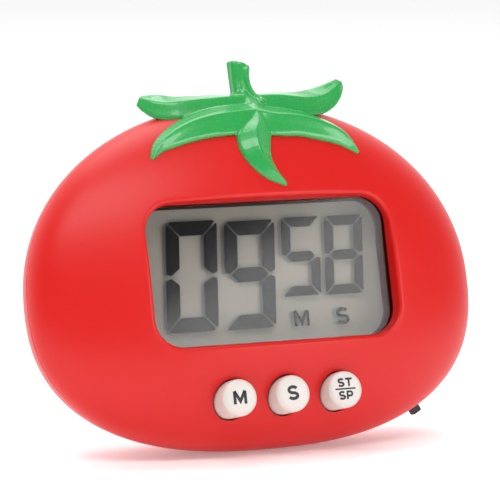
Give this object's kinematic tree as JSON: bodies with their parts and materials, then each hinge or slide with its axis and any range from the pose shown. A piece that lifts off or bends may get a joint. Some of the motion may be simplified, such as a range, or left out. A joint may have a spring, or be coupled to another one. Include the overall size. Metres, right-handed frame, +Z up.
{
  "type": "kitchen timer",
  "caption": "Tomato-shaped digital countdown timer with a recessed liquid-crystal display, round push buttons, a slide switch, back magnets, a battery door and a fold-out leg.",
  "frame": {"origin": "centre of the bounding box at table height, with the timer standing on its rounded bottom and its open leg", "axes": "+X to the reader's right across the display, +Y away from the reader, +Z up"},
  "size_m": [0.0926, 0.0438, 0.073],
  "materials": {
    "red_plastic": "satin moulded ABS",
    "green_plastic": "glossy moulded ABS",
    "clear_plastic": "clear polished acrylic",
    "black_plastic": "satin",
    "display_glass": "polished",
    "reflector_film": "satin silver-grey film",
    "silicone": "matte",
    "board_laminate": "solder mask",
    "epoxy": "glossy potting",
    "nickel_steel": "nickel plated",
    "component_body": "matte",
    "white_plastic": "satin",
    "brass": "rolled sheet",
    "ceramic": "silvered ceramic",
    "wire_cover": "PVC sleeve",
    "cell_can": "plain wrapped can"
  },
  "bodies": {
    "case": {"front_shell": "red_plastic", "rear_shell": "red_plastic", "calyx": "green_plastic", "display_lens": "clear_plastic", "lcd_frame": "black_plastic", "lcd_front_glass": "display_glass", "lcd_rear_glass": "display_glass", "lcd_reflector": "reflector_film", "lower_zebra_strip": "silicone", "upper_zebra_strip": "silicone", "minutes_dome": "silicone", "seconds_dome": "silicone", "start_stop_dome": "silicone", "main_board": "board_laminate", "timer_chip": "epoxy", "quartz_crystal": "nickel_steel", "board_components": "component_body", "board_screws": "nickel_steel", "case_screws": "nickel_steel", "battery_spring": "nickel_steel", "spring_plate": "nickel_steel", "positive_plate": "nickel_steel", "left_magnet": "nickel_steel", "right_magnet": "nickel_steel", "power_switch": "nickel_steel", "buzzer_plate": "brass", "buzzer_ceramic": "ceramic", "battery_wires": "wire_cover", "buzzer_wires": "wire_cover", "switch_wires": "wire_cover", "battery": "cell_can"},
    "minutes_button": {"minutes_button": "white_plastic"},
    "seconds_button": {"seconds_button": "white_plastic"},
    "start_stop_button": {"start_stop_button": "white_plastic"},
    "switch_knob": {"switch_knob": "black_plastic"},
    "battery_door": {"battery_door": "red_plastic"},
    "kickstand": {"kickstand": "red_plastic"}
  },
  "joints": [
    {"name": "minutes_button_press", "type": "slide", "parent": "case", "child": "minutes_button", "axis": [0, 0.9681, -0.2504], "range_m": [0, 0.001], "stiffness_N_per_m": 600, "springref_m": -0.001, "deforming": ["minutes_dome"]},
    {"name": "seconds_button_press", "type": "slide", "parent": "case", "child": "seconds_button", "axis": [0, 0.9681, -0.2504], "range_m": [0, 0.001], "stiffness_N_per_m": 600, "springref_m": -0.001, "deforming": ["seconds_dome"]},
    {"name": "start_stop_button_press", "type": "slide", "parent": "case", "child": "start_stop_button", "axis": [0, 0.9681, -0.2504], "range_m": [0, 0.001], "stiffness_N_per_m": 600, "springref_m": -0.001, "deforming": ["start_stop_dome"]},
    {"name": "power_switch_slide", "type": "slide", "parent": "case", "child": "switch_knob", "axis": [-0.8869, -0.1157, -0.4473], "range_m": [0, 0.002]},
    {"name": "battery_door_swing", "type": "hinge", "parent": "case", "child": "battery_door", "pos_m": [0, 0.0136, 0.03226], "axis": [-1, 0, 0], "range_deg": [0, 80]},
    {"name": "kickstand_fold", "type": "hinge", "parent": "case", "child": "kickstand", "pos_m": [0, 0.01134, 0.0251], "axis": [-1, 0, 0], "range_deg": [0, 36]}
  ]
}
